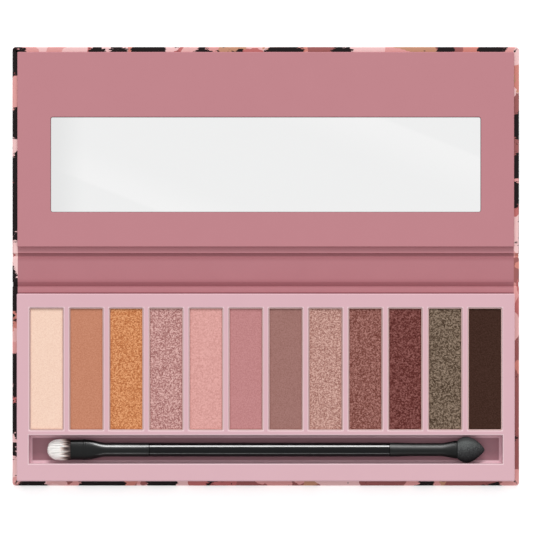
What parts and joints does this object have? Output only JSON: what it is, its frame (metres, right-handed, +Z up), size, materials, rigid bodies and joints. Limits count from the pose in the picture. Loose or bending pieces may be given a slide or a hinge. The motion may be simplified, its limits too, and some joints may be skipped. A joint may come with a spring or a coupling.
{
  "type": "eyeshadow palette",
  "caption": "Book-style makeup palette with pressed powders in pans, a slot with a double-ended brush, and a lid with a framed mirror that folds shut over two paper creases.",
  "frame": {"origin": "centre of the open palette's plan, on the surface it lies on", "axes": "+X to the right along the palette's length, +Y from the front of the base towards the lid's free edge, +Z up out of the open palette"},
  "size_m": [0.19, 0.1646, 0.0089],
  "materials": {
    "greyboard": "matte",
    "printed_paper": "satin",
    "rose_liner": "matte",
    "rose_panel": "satin",
    "pale_pink_plastic": "satin",
    "tinplate": "satin",
    "powder_ivory_peach": "matte",
    "powder_terracotta": "matte",
    "powder_copper": "satin",
    "powder_mauve_glitter": "satin",
    "powder_coral_satin": "satin",
    "powder_rose": "matte",
    "powder_taupe_mauve": "matte",
    "powder_rose_gold": "satin",
    "powder_red_brown_shimmer": "satin",
    "powder_burgundy_sparkle": "satin",
    "powder_olive_metallic": "satin",
    "powder_dark_brown": "matte",
    "hot_glue": "satin",
    "magnet_nickel": "gloss",
    "mirror_glass": "polished",
    "foam_tape": "matte",
    "black_gloss": "gloss",
    "ferrule_lacquer": "gloss",
    "bristle_hair": "matte",
    "sponge_foam": "matte"
  },
  "bodies": {
    "base": {"base_board": "greyboard", "base_wrap": "printed_paper", "base_liner": "rose_liner", "tray": "pale_pink_plastic", "pan_01": "tinplate", "pan_02": "tinplate", "pan_03": "tinplate", "pan_04": "tinplate", "pan_05": "tinplate", "pan_06": "tinplate", "pan_07": "tinplate", "pan_08": "tinplate", "pan_09": "tinplate", "pan_10": "tinplate", "pan_11": "tinplate", "pan_12": "tinplate", "shadow_01": "powder_ivory_peach", "shadow_02": "powder_terracotta", "shadow_03": "powder_copper", "shadow_04": "powder_mauve_glitter", "shadow_05": "powder_coral_satin", "shadow_06": "powder_rose", "shadow_07": "powder_taupe_mauve", "shadow_08": "powder_rose_gold", "shadow_09": "powder_red_brown_shimmer", "shadow_10": "powder_burgundy_sparkle", "shadow_11": "powder_olive_metallic", "shadow_12": "powder_dark_brown", "glue_dot_01": "hot_glue", "glue_dot_02": "hot_glue", "glue_dot_03": "hot_glue", "glue_dot_04": "hot_glue", "glue_dot_05": "hot_glue", "glue_dot_06": "hot_glue", "glue_dot_07": "hot_glue", "glue_dot_08": "hot_glue", "glue_dot_09": "hot_glue", "glue_dot_10": "hot_glue", "glue_dot_11": "hot_glue", "glue_dot_12": "hot_glue", "tray_magnet_left": "magnet_nickel", "tray_magnet_right": "magnet_nickel"},
    "spine": {"spine_board": "greyboard", "spine_wrap": "printed_paper", "spine_liner": "rose_liner"},
    "lid": {"lid_board": "greyboard", "lid_wrap": "printed_paper", "lid_liner": "rose_liner", "lid_panel": "rose_panel", "mirror": "mirror_glass", "mirror_tape": "foam_tape", "lid_magnet_left": "magnet_nickel", "lid_magnet_right": "magnet_nickel"},
    "brush": {"handle": "black_gloss", "bristle_ferrule": "ferrule_lacquer", "applicator_ferrule": "ferrule_lacquer", "bristles": "bristle_hair", "sponge_tip": "sponge_foam"}
  },
  "joints": [
    {"name": "spine_fold", "type": "hinge", "parent": "base", "child": "spine", "pos_m": [0, -0.00772, 0.0001], "axis": [-1, 0, 0], "range_deg": [-90, 0]},
    {"name": "lid_fold", "type": "hinge", "parent": "spine", "child": "lid", "pos_m": [0, 0.00483, 0.0001], "axis": [-1, 0, 0], "range_deg": [-90, 0]},
    {"name": "brush_lift", "type": "slide", "parent": "base", "child": "brush", "axis": [0, 0, 1], "range_m": [0, 0.045]}
  ]
}
